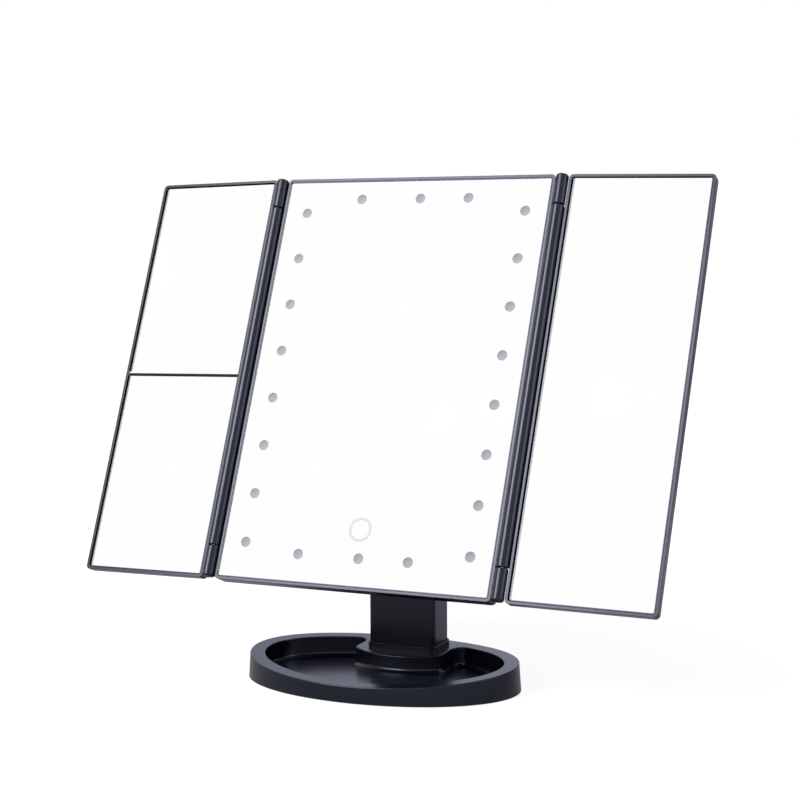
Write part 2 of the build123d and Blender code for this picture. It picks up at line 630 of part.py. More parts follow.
def centre_frame():
    """Tray behind the centre glass, with lamp rails, screw posts and the end knuckles of both folds."""
    half = CENTRE_HALF_WIDTH
    body = slab((-half, half), (0, PANEL_HEIGHT), (-BEZEL_PROUD, CENTRE_DEPTH), PANEL_CORNER)
    body = fillet(body.faces().sort_by(Axis.Y)[-1].edges(), BACK_ROUND)
    glass_half = CENTRE_GLASS_WIDTH / 2
    body -= glass_seat((-glass_half, glass_half), (EDGE, EDGE + GLASS_HEIGHT))
    inner = (-glass_half + LEDGE, glass_half - LEDGE)
    body -= slab(inner, (EDGE + LEDGE, PANEL_HEIGHT - EDGE - LEDGE), (GLASS, BACK_WALL_FRONT), 2.0)
    for x_range, z_range, lamps in led_strips():
        body += block(x_range, (STRIP_BACK, BACK_WALL_FRONT), z_range)
    for x, z in housing_screw_places():
        body += post(x, z, (GLASS + 1.5, BACK_WALL_FRONT), BOSS_RADIUS)
        body -= post(x, z, (GLASS + 2.2, CENTRE_DEPTH), SCREW_RADIUS + PRESSED_FIT)
    body -= slab((-OPENING_HALF_WIDTH, OPENING_HALF_WIDTH), (OPENING_BOTTOM, HOUSING_TOP - OPENING_MARGIN),
                 (BACK_WALL_FRONT - 1, CENTRE_DEPTH + 1), OPENING_CORNER)
    rib_ends = (half - EDGE - LEDGE + WEB_ROOT, LED_COLUMN_X + STRIP_WIDTH / 2 - WEB_ROOT)
    bottom = (KNUCKLE_GAP, KNUCKLE_GAP + END_KNUCKLE)
    top = (PANEL_HEIGHT - KNUCKLE_GAP - END_KNUCKLE, PANEL_HEIGHT - KNUCKLE_GAP)
    for side in (-1, 1):
        axis = side * FOLD_AXIS_X
        web = sorted((side * (half - WEB_ROOT), axis))
        body += hinge_cove(side)
        for z_range, rounds in ((bottom, (KNUCKLE_ROUND, BARREL_ROUND)), (top, (BARREL_ROUND, KNUCKLE_ROUND))):
            reach = (z_range[0] + KNUCKLE_ROUND, z_range[1] - KNUCKLE_ROUND)
            body += knuckle(axis, z_range, *rounds) + knuckle_web(web, reach)
        body -= upright(axis, -FOLD_AXIS_FRONT, (-1, top[1] - BLIND_END), HINGE_PIN_RADIUS + PRESSED_FIT)
        for z in (PANEL_HEIGHT / 3, PANEL_HEIGHT * 2 / 3):
            rib = sorted(side * end for end in rib_ends)
            body += block(rib, (STRIP_BACK, BACK_WALL_FRONT), (z - FRAME_RIB / 2, z + FRAME_RIB / 2))
    return body


def centre_mirror():
    """Lit centre glass."""
    half = CENTRE_GLASS_WIDTH / 2
    return glass_plate((-half, half), (EDGE, EDGE + GLASS_HEIGHT))


def led_boards():
    """Four lamp strips on their rails."""
    return [block(x_range, (STRIP_FRONT, STRIP_BACK), z_range) for x_range, z_range, lamps in led_strips()]


def leds():
    """Lamp packages close behind the glass."""
    packages = []
    for x_range, z_range, lamps in led_strips():
        for x, z in lamps:
            packages.append(block((x - LED_WIDTH / 2, x + LED_WIDTH / 2), (LED_FACE, STRIP_FRONT),
                                  (z - LED_LENGTH / 2, z + LED_LENGTH / 2)))
    return packages


def touch_contact():
    """Foil disc on the back of the glass and the soft conductive pillar that joins it to the board."""
    pad = post(TOUCH_X, TOUCH_HEIGHT, (GLASS, GLASS + TOUCH_PAD_THICK), TOUCH_PAD_RADIUS)
    return pad + post(TOUCH_X, TOUCH_HEIGHT, (GLASS, BOARD_BEHIND), TOUCH_PILLAR_RADIUS)


def hinge_pin(side):
    """Rod from the open bottom knuckle, through the barrel, into the closed top knuckle."""
    bottom = KNUCKLE_GAP + HINGE_PIN_SUNK
    top = PANEL_HEIGHT - KNUCKLE_GAP - BLIND_END - HINGE_PIN_SHORT
    return upright(side * FOLD_AXIS_X, -FOLD_AXIS_FRONT, (bottom, top), HINGE_PIN_RADIUS)


# ---- Back housing and what it holds ----

def housing_form():
    """Outer form of the raised housing, with soft back edges."""
    body = slab((-HOUSING_HALF_WIDTH, HOUSING_HALF_WIDTH), (HOUSING_BOTTOM, HOUSING_TOP),
                (CENTRE_DEPTH, HOUSING_BACK), HOUSING_CORNER)
    return fillet(body.faces().sort_by(Axis.Y)[-1].edges(), HOUSING_ROUND)


def housing_hollow():
    """Space inside the housing's walls, behind its flange."""
    inner = HOUSING_HALF_WIDTH - WALL
    return slab((-inner, inner), (HOUSING_BOTTOM + WALL, HOUSING_TOP - WALL),
                (CENTRE_DEPTH + FLANGE, HOUSING_INSIDE), HOUSING_CORNER - WALL)


def board_posts():
    """Places of the control board's four screws."""
    heights = (BOARD_LOW + BOARD_FOOT, BOARD_HIGH - BOARD_SCREW_EDGE)
    return [(x * (BOARD_WIDTH / 2 - BOARD_SCREW_EDGE), z) for x in (-1, 1) for z in heights]


def battery_tub():
    """Open box round the cells, hung between the housing's side walls by its two end walls."""
    floor = CELL_BEHIND - CELL_RADIUS - CELL_END_PLAY
    back = HOUSING_INSIDE - SLIDE_GAP
    outer = block((-BAY_HALF_WIDTH - BAY_WALL, BAY_HALF_WIDTH + BAY_WALL), (floor - BAY_WALL, back),
                  (BAY_LOW - BAY_WALL, BAY_HIGH + BAY_WALL))
    reach = HOUSING_HALF_WIDTH - WALL / 2
    for z_range in ((BAY_LOW - BAY_WALL, BAY_LOW), (BAY_HIGH, BAY_HIGH + BAY_WALL)):
        outer += block((-reach, reach), (CENTRE_DEPTH, back), z_range)
    return outer - block((-BAY_HALF_WIDTH, BAY_HALF_WIDTH), (floor, back + 1), (BAY_LOW, BAY_HIGH))


def door_region(gap):
    """Part of the housing's back wall and top end that lifts off with the battery door."""
    half = DOOR_HALF_WIDTH - gap
    back = HOUSING_BACK + 1
    top = HOUSING_TOP + 1
    low = HOUSING_TOP - DOOR_BELOW + gap
    return (block((-half, half), (HOUSING_INSIDE, back), (low, top))
            + block((-half, half), (CENTRE_DEPTH + FLANGE + gap, back), (HOUSING_TOP - WALL, top)))


def door_tabs():
    """Hooked tabs at the door's sides, which run just under the housing's back wall."""
    tabs = []
    back = HOUSING_INSIDE - SLIDE_GAP
    edge = DOOR_HALF_WIDTH - COVER_GAP
    for below in TABS_BELOW:
        for side in (-1, 1):
            neck = sorted((side * (edge - TAB_NECK), side * edge))
            tab = sorted((side * (edge - TAB_NECK), side * (edge + TAB)))
            high = (HOUSING_TOP - below, HOUSING_TOP - below + TAB_LENGTH)
            tabs.append(block(neck, (back - TAB_THICK, HOUSING_INSIDE), high)
                        + block(tab, (back - TAB_THICK, back), high))
    return tabs


def back_housing():
    """Shell on the back of the centre frame: battery tub, board posts, switch slot and port."""
    inner = OPENING_HALF_WIDTH - COVER_GAP
    lip_z = (OPENING_BOTTOM + COVER_GAP, HOUSING_TOP - OPENING_MARGIN - COVER_GAP)
    lip_corner = OPENING_CORNER - COVER_GAP
    lip = slab((-inner, inner), lip_z, (CENTRE_DEPTH - LIP_DEPTH, CENTRE_DEPTH + FLANGE), lip_corner)
    mouth = slab((-inner + LIP_WALL, inner - LIP_WALL), (lip_z[0] + LIP_WALL, lip_z[1] - LIP_WALL),
                 (CENTRE_DEPTH - LIP_DEPTH - 1, CENTRE_DEPTH + FLANGE), lip_corner - LIP_WALL)
    body = housing_form() + lip - housing_hollow() - mouth
    body += battery_tub()
    seat = CENTRE_DEPTH + HOUSING_SCREW_SEAT
    for x, z in housing_screw_places():
        body += post(x, z, (CENTRE_DEPTH, HOUSING_INSIDE), BOSS_RADIUS + HOUSING_POST_WALL)
        body -= post(x, z, (seat, HOUSING_BACK + 1), SCREW_HEAD_RADIUS + 2 * SCREW_FIT)
        body -= in_from_back(x, z, seat) * screw_hole(seat)
    for x, z in bracket_screw_places():
        body += post(x, z, (HOUSING_BACK - BRACKET_BOSS, HOUSING_INSIDE), BOSS_RADIUS)
        pilot = (HOUSING_BACK + BRACKET_PLATE - BRACKET_SCREW - 1, HOUSING_BACK + 1)
        body -= post(x, z, pilot, SCREW_RADIUS + PRESSED_FIT)
    for x, z in board_posts():
        body += post(x, z, (BOARD_BEHIND + BOARD_THICK, HOUSING_INSIDE), BOSS_RADIUS)
        body -= post(x, z, (BOARD_BEHIND, BOARD_BEHIND + BOARD_SCREW + SCREW_FIT), SCREW_RADIUS + PRESSED_FIT)
    port_middle = BOARD_BEHIND + BOARD_THICK + USB_HEIGHT / 2
    body -= block((-USB_WIDTH / 2 - COVER_GAP, USB_WIDTH / 2 + COVER_GAP),
                  (port_middle - USB_HEIGHT / 2 - COVER_GAP, port_middle + USB_HEIGHT / 2 + COVER_GAP),
                  (HOUSING_BOTTOM - 1, HOUSING_BOTTOM + WALL + 1))
    slot_z = (SWITCH_HEIGHT - KNOB_LENGTH / 2 - SLIDE_GAP,
              SWITCH_HEIGHT + KNOB_LENGTH / 2 + SWITCH_TRAVEL + SLIDE_GAP)
    slot_half = KNOB_WIDTH / 2 + SLIDE_GAP
    body -= block((SWITCH_X - slot_half, SWITCH_X + slot_half), (HOUSING_INSIDE - 1, HOUSING_BACK + 1), slot_z)
    body -= door_region(0)
    return body


def battery_door():
    """Sliding door: the top middle of the housing, with tabs at its sides and grip ribs on its back."""
    shell = housing_form() - housing_hollow()
    door = shell & door_region(COVER_GAP)
    for tab in door_tabs():
        door += tab
    for i in range(GRIP_RIBS):
        z = HOUSING_TOP - GRIP_BELOW - i * GRIP_PITCH
        door += slab((-GRIP_HALF_WIDTH, GRIP_HALF_WIDTH), (z, z + GRIP_WIDTH),
                     (HOUSING_BACK - GRIP_PROUD, HOUSING_BACK + GRIP_PROUD), 0.4 * GRIP_WIDTH)
    return door


def cell_places():
    """X of each cell and whether its button points up."""
    first = -(CELLS - 1) * CELL_PITCH / 2
    return [(first + i * CELL_PITCH, i % 2 == 0) for i in range(CELLS)]


def batteries():
    """Small round cells, side by side, alternately up and down."""
    cells = []
    for x, up in cell_places():
        can = upright(x, CELL_BEHIND, (CELL_LOW, CELL_LOW + CELL_LENGTH), CELL_RADIUS)
        low, high = (CELL_LOW + CELL_LENGTH, CELL_LOW + CELL_LENGTH + CELL_BUTTON)
        if not up:
            low, high = (CELL_LOW - CELL_BUTTON, CELL_LOW)
        cells.append(can + upright(x, CELL_BEHIND, (low, high), CELL_BUTTON_RADIUS))
    return cells


def battery_plates():
    """Flat contacts against the tub's end walls, one at each end of each cell."""
    plates = []
    for x, up in cell_places():
        for z_range in ((BAY_LOW, BAY_LOW + CONTACT), (BAY_HIGH - CONTACT, BAY_HIGH)):
            half = CONTACT_WIDTH / 2
            plates.append(block((x - half, x + half), (CELL_BEHIND - half, CELL_BEHIND + half), z_range))
    return plates


def battery_springs():
    """Hollow cones that stand for the coil springs at the flat ends of the cells."""
    springs = []
    for x, up in cell_places():
        if up:
            low, high = BAY_LOW + CONTACT, CELL_LOW
            below, above = SPRING_WIDE, SPRING_NARROW
        else:
            low, high = CELL_LOW + CELL_LENGTH, BAY_HIGH - CONTACT
            below, above = SPRING_NARROW, SPRING_WIDE
        stand = (Align.CENTER, Align.CENTER, Align.MIN)
        cone = Cone(below, above, high - low, align=stand)
        core = Cone(below - SPRING_WALL, above - SPRING_WALL, high - low, align=stand)
        springs.append(Pos(x, CELL_BEHIND, low) * (cone - core))
    return springs


def control_board():
    """Circuit board with its driver chip, behind the frame's window."""
    back = BOARD_BEHIND + BOARD_THICK
    board = slab((-BOARD_WIDTH / 2, BOARD_WIDTH / 2), (BOARD_LOW, BOARD_HIGH), (BOARD_BEHIND, back),
                 BOARD_CORNER)
    for x, z in board_posts():
        board -= post(x, z, (BOARD_BEHIND - 1, back + 1), SCREW_RADIUS + SCREW_FIT)
    chip_middle = BOARD_LOW + CHIP_FOOT
    chip = block((-CHIP / 2, CHIP / 2), (back, back + CHIP_HIGH), (chip_middle - CHIP / 2, chip_middle + CHIP / 2))
    coil = post(COIL_X, BOARD_LOW + COIL_FOOT, (back, back + COIL_HIGH), COIL_RADIUS)
    return board + chip + coil


def board_screws():
    """Screws that hold the board on its posts."""
    return [Pos(x, BOARD_BEHIND, z) * Rot(-90, 0, 0) * pan_screw(BOARD_SCREW) for x, z in board_posts()]


def pan_screw(length):
    """Flat-headed screw along +Z whose head stands below the origin."""
    head = Pos(0, 0, -PAN_HEAD) * extrude(Circle(SCREW_HEAD_RADIUS), amount=PAN_HEAD)
    return head + extrude(Circle(SCREW_RADIUS), amount=length)


def housing_screws():
    """Screws at the bottom of the housing's corner wells, into the centre frame."""
    seat = CENTRE_DEPTH + HOUSING_SCREW_SEAT
    return [in_from_back(x, z, seat) * screw(HOUSING_SCREW) for x, z in housing_screw_places()]


def usb_socket():
    """Charging port: a thin metal mouth with a tongue, at the lower edge of the board."""
    front = BOARD_BEHIND + BOARD_THICK
    middle = front + USB_HEIGHT / 2
    mouth = HOUSING_BOTTOM + USB_SUNK
    end = mouth + USB_LENGTH
    shell = block((-USB_WIDTH / 2, USB_WIDTH / 2), (front, front + USB_HEIGHT), (mouth, end))
    cut = block((-USB_WIDTH / 2 + USB_WALL, USB_WIDTH / 2 - USB_WALL),
                (front + USB_WALL, front + USB_HEIGHT - USB_WALL), (mouth - 1, end - 2 * USB_WALL))
    tongue = block((-TONGUE_WIDTH / 2, TONGUE_WIDTH / 2), (middle - TONGUE_THICK / 2, middle + TONGUE_THICK / 2),
                   (mouth + USB_WALL, end - USB_WALL))
    return shell - cut + tongue


def switch_body():
    """Slide switch can under the housing's back wall, open where its knob runs."""
    back = HOUSING_INSIDE
    middle = SWITCH_HEIGHT + SWITCH_TRAVEL / 2
    x_range = (SWITCH_X - SWITCH_BODY_WIDTH / 2, SWITCH_X + SWITCH_BODY_WIDTH / 2)
    z_range = (middle - SWITCH_BODY_LENGTH / 2, middle + SWITCH_BODY_LENGTH / 2)
    can = block(x_range, (back - SWITCH_BODY_HEIGHT, back), z_range)
    half = KNOB_WIDTH / 2 + SLIDE_GAP
    run = (SWITCH_HEIGHT - KNOB_LENGTH / 2 - SLIDE_GAP,
           SWITCH_HEIGHT + KNOB_LENGTH / 2 + SWITCH_TRAVEL + SLIDE_GAP)
    return can - block((SWITCH_X - half, SWITCH_X + half), (back - KNOB_SUNK - SLIDE_GAP, back + 1), run)


def power_switch():
    """Ribbed knob of the slide switch, at its off end."""
    back = HOUSING_BACK + KNOB_PROUD
    x_range = (SWITCH_X - KNOB_WIDTH / 2, SWITCH_X + KNOB_WIDTH / 2)
    z_range = (SWITCH_HEIGHT - KNOB_LENGTH / 2, SWITCH_HEIGHT + KNOB_LENGTH / 2)
    knob = block(x_range, (HOUSING_INSIDE - KNOB_SUNK, back), z_range)
    for i in range(KNOB_GROOVES):
        z = SWITCH_HEIGHT + (i - (KNOB_GROOVES - 1) / 2) * KNOB_GROOVE_PITCH
        knob -= block((x_range[0] - 1, x_range[1] + 1), (back - KNOB_GROOVE_DEPTH, back + 1),
                      (z - KNOB_GROOVE_WIDTH / 2, z + KNOB_GROOVE_WIDTH / 2))
    return knob


# ---- Side panels, in the panel frame, opened flat and on the right ----

def side_glass_limits():
    """X limits of a side glass."""
    return (SIDE_INNER + EDGE, SIDE_OUTER - EDGE)


def side_glass_heights(split):
    """Z limits of each glass: one tall one, or two with the cross bar between them."""
    low, high = EDGE, EDGE + GLASS_HEIGHT
    if not split:
        return [(low, high)]
    middle = PANEL_HEIGHT / 2 - DIVIDER_BELOW
    half_bar = DIVIDER_WIDTH / 2 + SEAT_GAP
    return [(low, middle - half_bar), (middle + half_bar, high)]


def side_windows(split, inset):
    """Openings behind the glass, drawn in from each seat by inset."""
    x_range = side_glass_limits()
    windows = []
    for low, high in side_glass_heights(split):
        windows.append(((x_range[0] + inset, x_range[1] - inset), (low + inset, high - inset)))
    return windows


def side_frame(split):
    """Ring round a side glass with a shelf behind it and the long middle knuckle on its inner edge."""
    body = slab((SIDE_INNER, SIDE_OUTER), (0, PANEL_HEIGHT), (-BEZEL_PROUD, SIDE_DEPTH), PANEL_CORNER)
    body = fillet(body.faces().sort_by(Axis.Y)[-1].edges(), BACK_ROUND)
    for z_range in side_glass_heights(split):
        body -= glass_seat(side_glass_limits(), z_range)
    for x_range, z_range in side_windows(split, LEDGE):
        body -= slab(x_range, z_range, (GLASS - 1, SIDE_DEPTH), 1.5)
    body -= slab((SIDE_INNER + RIM, SIDE_OUTER - RIM), (RIM, PANEL_HEIGHT - RIM),
                 (GLASS + SIDE_LEDGE, SIDE_DEPTH + 1), 1.5)
    z_range = (END_KNUCKLE + 2 * KNUCKLE_GAP, PANEL_HEIGHT - END_KNUCKLE - 2 * KNUCKLE_GAP)
    reach = (z_range[0] + BARREL_ROUND, z_range[1] - BARREL_ROUND)
    body += knuckle(FOLD_AXIS_X, z_range, BARREL_ROUND, BARREL_ROUND)
    body += knuckle_web((FOLD_AXIS_X, SIDE_INNER + WEB_ROOT), reach)
    return body - upright(FOLD_AXIS_X, -FOLD_AXIS_FRONT, (0, PANEL_HEIGHT), HINGE_PIN_RADIUS + RUNNING_FIT)


def side_back(split):
    """Plate let into the back of a side frame, with ribs that reach forward to the glass."""
    rest = GLASS + SIDE_LEDGE
    margin = RIM + COVER_GAP
    body = slab((SIDE_INNER + margin, SIDE_OUTER - margin), (margin, PANEL_HEIGHT - margin),
                (rest, rest + SIDE_BACK_PLATE), 1.3)
    for x_range, z_range in side_windows(split, LEDGE + COVER_GAP):
        middle = (x_range[0] + x_range[1]) / 2
        body += block((middle - SIDE_RIB_THICK / 2, middle + SIDE_RIB_THICK / 2), (GLASS, rest), z_range)
        count = SIDE_RIBS // len(side_glass_heights(split))
        for i in range(count):
            z = z_range[0] + (z_range[1] - z_range[0]) * (i + 1) / (count + 1)
            body += block(x_range, (GLASS, rest), (z - SIDE_RIB_THICK / 2, z + SIDE_RIB_THICK / 2))
    return body


def folded(side, turn, shape):
    """Carries a flat right-hand piece to its side and folds it back about the fold axis by turn degrees."""
    if side < 0:
        shape = mirror(shape, about=Plane.YZ)
    axis = Pos(side * FOLD_AXIS_X, -FOLD_AXIS_FRONT, 0)
    return axis * Rot(0, 0, side * turn) * axis.inverse() * shape


# ---- Assembly ----

def write(name, shape, place=None):
    """Writes one piece, or a group of equal pieces, as the STEP file of its node."""
    pieces = shape if isinstance(shape, list) else [shape]
    if place is not None:
        pieces = [place * piece for piece in pieces]
    solids = [solid for piece in pieces for solid in piece.solids()]
    whole = solids[0] if len(solids) == 1 else Compound(children=solids)
    export_step(whole, "parts/" + name + ".step")


os.makedirs("parts", exist_ok=True)

for make in (base_tray, base_cover, base_ring, base_screws, stem_shell, stem_rear_cover, stem_collar,
             stem_screws, tilt_bushes, tilt_washers):
    write(make.__name__, make())

for make in (tilt_bracket, bracket_screws, tilt_bolt, tilt_nut, centre_frame, centre_mirror, led_boards, leds,
             touch_contact, control_board, board_screws, usb_socket, switch_body, power_switch, back_housing,
             housing_screws, battery_door, batteries, battery_springs, battery_plates):
    write(make.__name__, make(), HEAD)

write("left_hinge_pin", hinge_pin(-1), HEAD)
write("right_hinge_pin", hinge_pin(1), HEAD)

for name, side, turn, split in (("left", -1, LEFT_BACK_FOLD, True), ("right", 1, RIGHT_BACK_FOLD, False)):
    write(name + "_frame", folded(side, turn, side_frame(split)), HEAD)
    write(name + "_back", folded(side, turn, side_back(split)), HEAD)
    heights = side_glass_heights(split)
    labels = ("_lower_mirror", "_upper_mirror") if split else ("_mirror",)
    for label, z_range in zip(labels, heights):
        plate = glass_plate(side_glass_limits(), z_range)
        write(name + label, folded(side, turn, plate), HEAD)
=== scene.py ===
import json
import math

import bmesh
import bpy
import numpy as np
from mathutils import Matrix, Vector


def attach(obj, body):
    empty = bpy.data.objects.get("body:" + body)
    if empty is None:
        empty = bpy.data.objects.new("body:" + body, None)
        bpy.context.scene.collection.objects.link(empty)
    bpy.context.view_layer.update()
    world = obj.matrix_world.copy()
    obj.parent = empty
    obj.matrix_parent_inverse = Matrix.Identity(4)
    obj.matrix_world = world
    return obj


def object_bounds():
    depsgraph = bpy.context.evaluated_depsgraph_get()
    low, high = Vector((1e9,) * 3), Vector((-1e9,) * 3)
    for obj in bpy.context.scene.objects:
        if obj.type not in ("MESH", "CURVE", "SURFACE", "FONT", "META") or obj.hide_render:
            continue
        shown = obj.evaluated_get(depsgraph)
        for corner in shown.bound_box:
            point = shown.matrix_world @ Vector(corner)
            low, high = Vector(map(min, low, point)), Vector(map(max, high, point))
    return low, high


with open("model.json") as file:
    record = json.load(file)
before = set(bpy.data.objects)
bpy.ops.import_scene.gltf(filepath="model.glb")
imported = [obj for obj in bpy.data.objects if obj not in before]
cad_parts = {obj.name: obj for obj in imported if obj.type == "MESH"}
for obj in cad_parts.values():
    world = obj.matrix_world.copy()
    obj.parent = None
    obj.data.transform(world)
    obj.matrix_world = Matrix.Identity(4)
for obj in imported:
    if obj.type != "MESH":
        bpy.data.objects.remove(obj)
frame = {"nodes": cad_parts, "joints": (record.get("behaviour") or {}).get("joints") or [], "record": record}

# Trifold vanity mirror: finishes for the moulded, glass and metal pieces, and the fine details that
# lie on the glass. Metres throughout; the mirror's sizes are written in millimetres times MM.

MM = 0.001
CAD_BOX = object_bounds()

# ---- Camera ----
CAMERA_PLACE = (450.3 * MM, -902.9 * MM, 244.3 * MM)
CAMERA_YAW = 25.93         # degrees to the left of straight ahead
CAMERA_PITCH = -7.09
CAMERA_ROLL = -0.28
SENSOR = 36.0              # its width in millimetres
FOCAL_IN_WIDTHS = 2.31946  # focal length over the picture's width
SHIFT_UP = 0.0875          # of the picture's middle above the lens axis, in picture widths

# ---- Studio, in metres from the middle of the base: X to the right, Y to the rear ----
FILL_LIGHT = 0.25          # the world's even light on the object, where white is 1
COOL_WHITE = "#E6E8FF"     # of the room behind the object, in reflections
FLOOR_WHITE = "#FDFDFF"
FLOOR_GREY = "#949492"     # of the part of the floor that is lit, and so shows the shadow
FLOOR_REACH = 12.0         # from the middle to each edge
# How far the room is dimmed in reflections, over the direction's X and Y; the two are multiplied.
ROOM_RIGHT = {"From Min": -0.15, "From Max": 0.25, "To Min": 0.0, "To Max": 0.62}
ROOM_REAR = {"From Min": 0.0, "From Max": 0.4}
# How bright the floor is in reflections: the first two and the last over Y, the third over X.
FLOOR_NEAR = {"From Min": 0.0, "From Max": 0.4, "To Min": 0.28, "To Max": 0.85}
FLOOR_FAR = {"From Min": 0.55, "From Max": 1.6, "To Min": 1.0, "To Max": 0.3}
FLOOR_RIGHT = {"From Min": 0.15, "From Max": 0.4, "To Min": 1.0, "To Max": 0.35}
FLOOR_FRONT = {"From Min": -0.25, "From Max": -0.7, "To Min": 0.28, "To Max": 0.9}
FLOOR_COOL = {"From Min": -0.1, "From Max": 0.15}  # share of the cool white, over Y
# How much the floor glows for the camera, over the distance: less than white where the shadow lies.
FLOOR_SEEN = {"From Min": 0.15, "From Max": 0.5, "To Min": 0.905, "To Max": 1.0}

# ---- Sizes on the glass, in the panels' own flat frame ----
HALF_HEIGHT = 118.6 * MM       # from the panels' bottom edge up to the tilt axis
AXIS_FRONT = 0.5 * MM          # of the fold axes in front of the glass
EDGE = 2.15 * MM               # frame beyond each glass
GLASS_WIDTH = 160.8 * MM
GLASS_HEIGHT = 233.1 * MM
GLASS_CORNER = 0.8 * MM
SIDE_GLASS_WIDTH = 76.5 * MM
SIDE_GLASS_START = 92.45 * MM  # from the centre to a side glass, with the panels flat
DIVIDER_MIDDLE = 117.9 * MM    # height of the left panel's cross bar
DIVIDER_GAP = 2.5 * MM         # between its two glasses
FOLD_AXIS = 86.5 * MM
LEFT_BACK_FOLD = 3.2           # degrees behind flat
RIGHT_BACK_FOLD = 2.4
SEAT_GAP = 0.6 * MM            # between a glass and its frame
BEZEL_PROUD = 0.3 * MM         # of the frames in front of the glass
LIP_DEPTH = 0.5 * MM           # of the frames' inner lips behind the glass face
LIP_LAP = 0.05 * MM            # of these lips over the glass
SEAM = 0.9 * MM                # pale band at a side glass's edge: ground edge and painted highlight
DIVIDER_LINE = 1.5 * MM        # height of the painted shade line between the left panel's glasses
DIVIDER_LOW = 116.8 * MM       # its lower edge
SKIN = 0.03 * MM               # thickness of what is etched or drawn on the glass
LIFT = 0.01 * MM               # of its underside off the glass
WELD = 0.0001 * MM             # points closer together than this become one
# Width of the painted shade line inside each side glass's left, top, right and bottom edge.
LEFT_SHADE = (0.8 * MM, 0.3 * MM, 0, 0)
RIGHT_SHADE = (0.35 * MM, 0, 0, 0)

# ---- Lamp windows and touch mark, across from the middle and up from the panels' bottom edge ----
WINDOW_RADIUS = 2.95 * MM
COLUMN_X = (-67.0 * MM, 67.6 * MM)
COLUMN_LOW = (21.8 * MM, 22.9 * MM)
COLUMN_HIGH = 216.4 * MM
COLUMN_COUNT = 8
ROW_HEIGHTS = (17.3 * MM, 224.5 * MM)
ROW_X = (-33.2 * MM, 3.4 * MM, 32.7 * MM)
WINDOW_RINGS = 9               # rings of points from a window's rim to its middle
WINDOW_STEPS = 40              # points round it
LIGHT_FROM = 125               # degrees anticlockwise from the right; the rim there is in shadow
TOUCH_X = 1.6 * MM
TOUCH_HEIGHT = 33.3 * MM
TOUCH_RADIUS = 6.0 * MM
TOUCH_LINE = 0.8 * MM          # half the line's width
TOUCH_STEPS = 72               # points round it
ARCH_STEPS = 7                 # points over a shallow arch
CORNER_STEPS = 6               # points round a glass's corner


# ---- Panel frames, from the joints ----

joints = {joint["name"]: joint for joint in frame["joints"]}
ACROSS = np.array([1.0, 0.0, 0.0])
UP = np.array(joints["left_fold"]["axis"], dtype=float)
UP /= np.linalg.norm(UP)
BACK = np.cross(UP, ACROSS)
# Middle of the centre glass's face, at the panels' bottom edge.
ORIGIN = np.array(joints["left_fold"]["pos_m"], dtype=float) + AXIS_FRONT * BACK - HALF_HEIGHT * UP
ORIGIN[0] = 0.0
# Each panel's body, its side, and the degrees that it stands folded back.
PANELS = {"centre": ("head", 0, 0.0), "left": ("left_panel", -1, LEFT_BACK_FOLD),
          "right": ("right_panel", 1, RIGHT_BACK_FOLD)}


def on_glass(across, up, out, side=0, turn=0.0):
    """World place of points on a glass: across from the centre panel's middle, up from the panels'
    bottom edge and out in front of the glass, in the flat unfolded mirror. For a side panel (side 1
    or -1) the point is then turned back about its fold axis by an angle f: a point lying a beyond
    the axis and b behind it goes to a cos f - b sin f and a sin f + b cos f.
    place = ORIGIN + across * ACROSS + up * UP + back * BACK."""
    shape = np.broadcast(across, up, out).shape
    across, up, out = (np.broadcast_to(value, shape)[..., None] for value in (across, up, out))
    back = -out
    if side:
        angle = math.radians(turn)
        beyond = side * across - FOLD_AXIS
        behind = back + AXIS_FRONT
        across = side * (FOLD_AXIS + beyond * math.cos(angle) - behind * math.sin(angle))
        back = beyond * math.sin(angle) + behind * math.cos(angle) - AXIS_FRONT
    return ORIGIN + across * ACROSS + up * UP + back * BACK


# ---- Mesh and material helpers ----

def grid_faces(rows, columns, close_rows=False, close_columns=False):
    """Quads of a grid of rows by columns points, wrapped round where a direction is closed."""
    r = np.arange(rows if close_rows else rows - 1)
    c = np.arange(columns if close_columns else columns - 1)
    r, c = np.meshgrid(r, c, indexing="ij")
    r_next, c_next = (r + 1) % rows, (c + 1) % columns
    quads = [r * columns + c, r * columns + c_next, r_next * columns + c_next, r_next * columns + c]
    return np.stack(quads, axis=-1).reshape(-1, 4)


def make_piece(name, points, faces, body, material, shade=None):
    """Makes one closed mesh object from world points and quads, with a shade value at each point if
    given, welds points that lie together, turns the normals outwards and hangs the object on its
    body."""
    mesh = bpy.data.meshes.new(name)
    mesh.from_pydata(np.asarray(points, dtype=float).reshape(-1, 3).tolist(), [], faces.tolist())
    if shade is not None:
        mesh.attributes.new("shade", "FLOAT", "POINT").data.foreach_set("value", shade)
    welded = bmesh.new()
    welded.from_mesh(mesh)
    bmesh.ops.remove_doubles(welded, verts=welded.verts, dist=WELD)
    bmesh.ops.recalc_face_normals(welded, faces=welded.faces)
    welded.to_mesh(mesh)
    welded.free()
    piece = bpy.data.objects.new(name, mesh)
    bpy.context.collection.objects.link(piece)
    mesh.materials.append(material)
    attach(piece, body)
    return piece


def linear(code):
    """Linear colour, with alpha, of an sRGB hex code such as #1A2B3C."""
    values = [int(code[i:i + 2], 16) / 255 for i in (1, 3, 5)]
    red_green_blue = [v / 12.92 if v <= 0.04045 else ((v + 0.055) / 1.055) ** 2.4 for v in values]
    return (*red_green_blue, 1.0)


def join(tree, node, inputs):
    """Sets a node's inputs to constants, or links them to sockets or to a node's first output."""
    for key, value in inputs.items():
        if isinstance(value, bpy.types.Node):
            value = next(socket for socket in value.outputs if socket.enabled)
        if isinstance(value, bpy.types.NodeSocket):
            tree.links.new(value, node.inputs[key])
        else:
            node.inputs[key].default_value = value


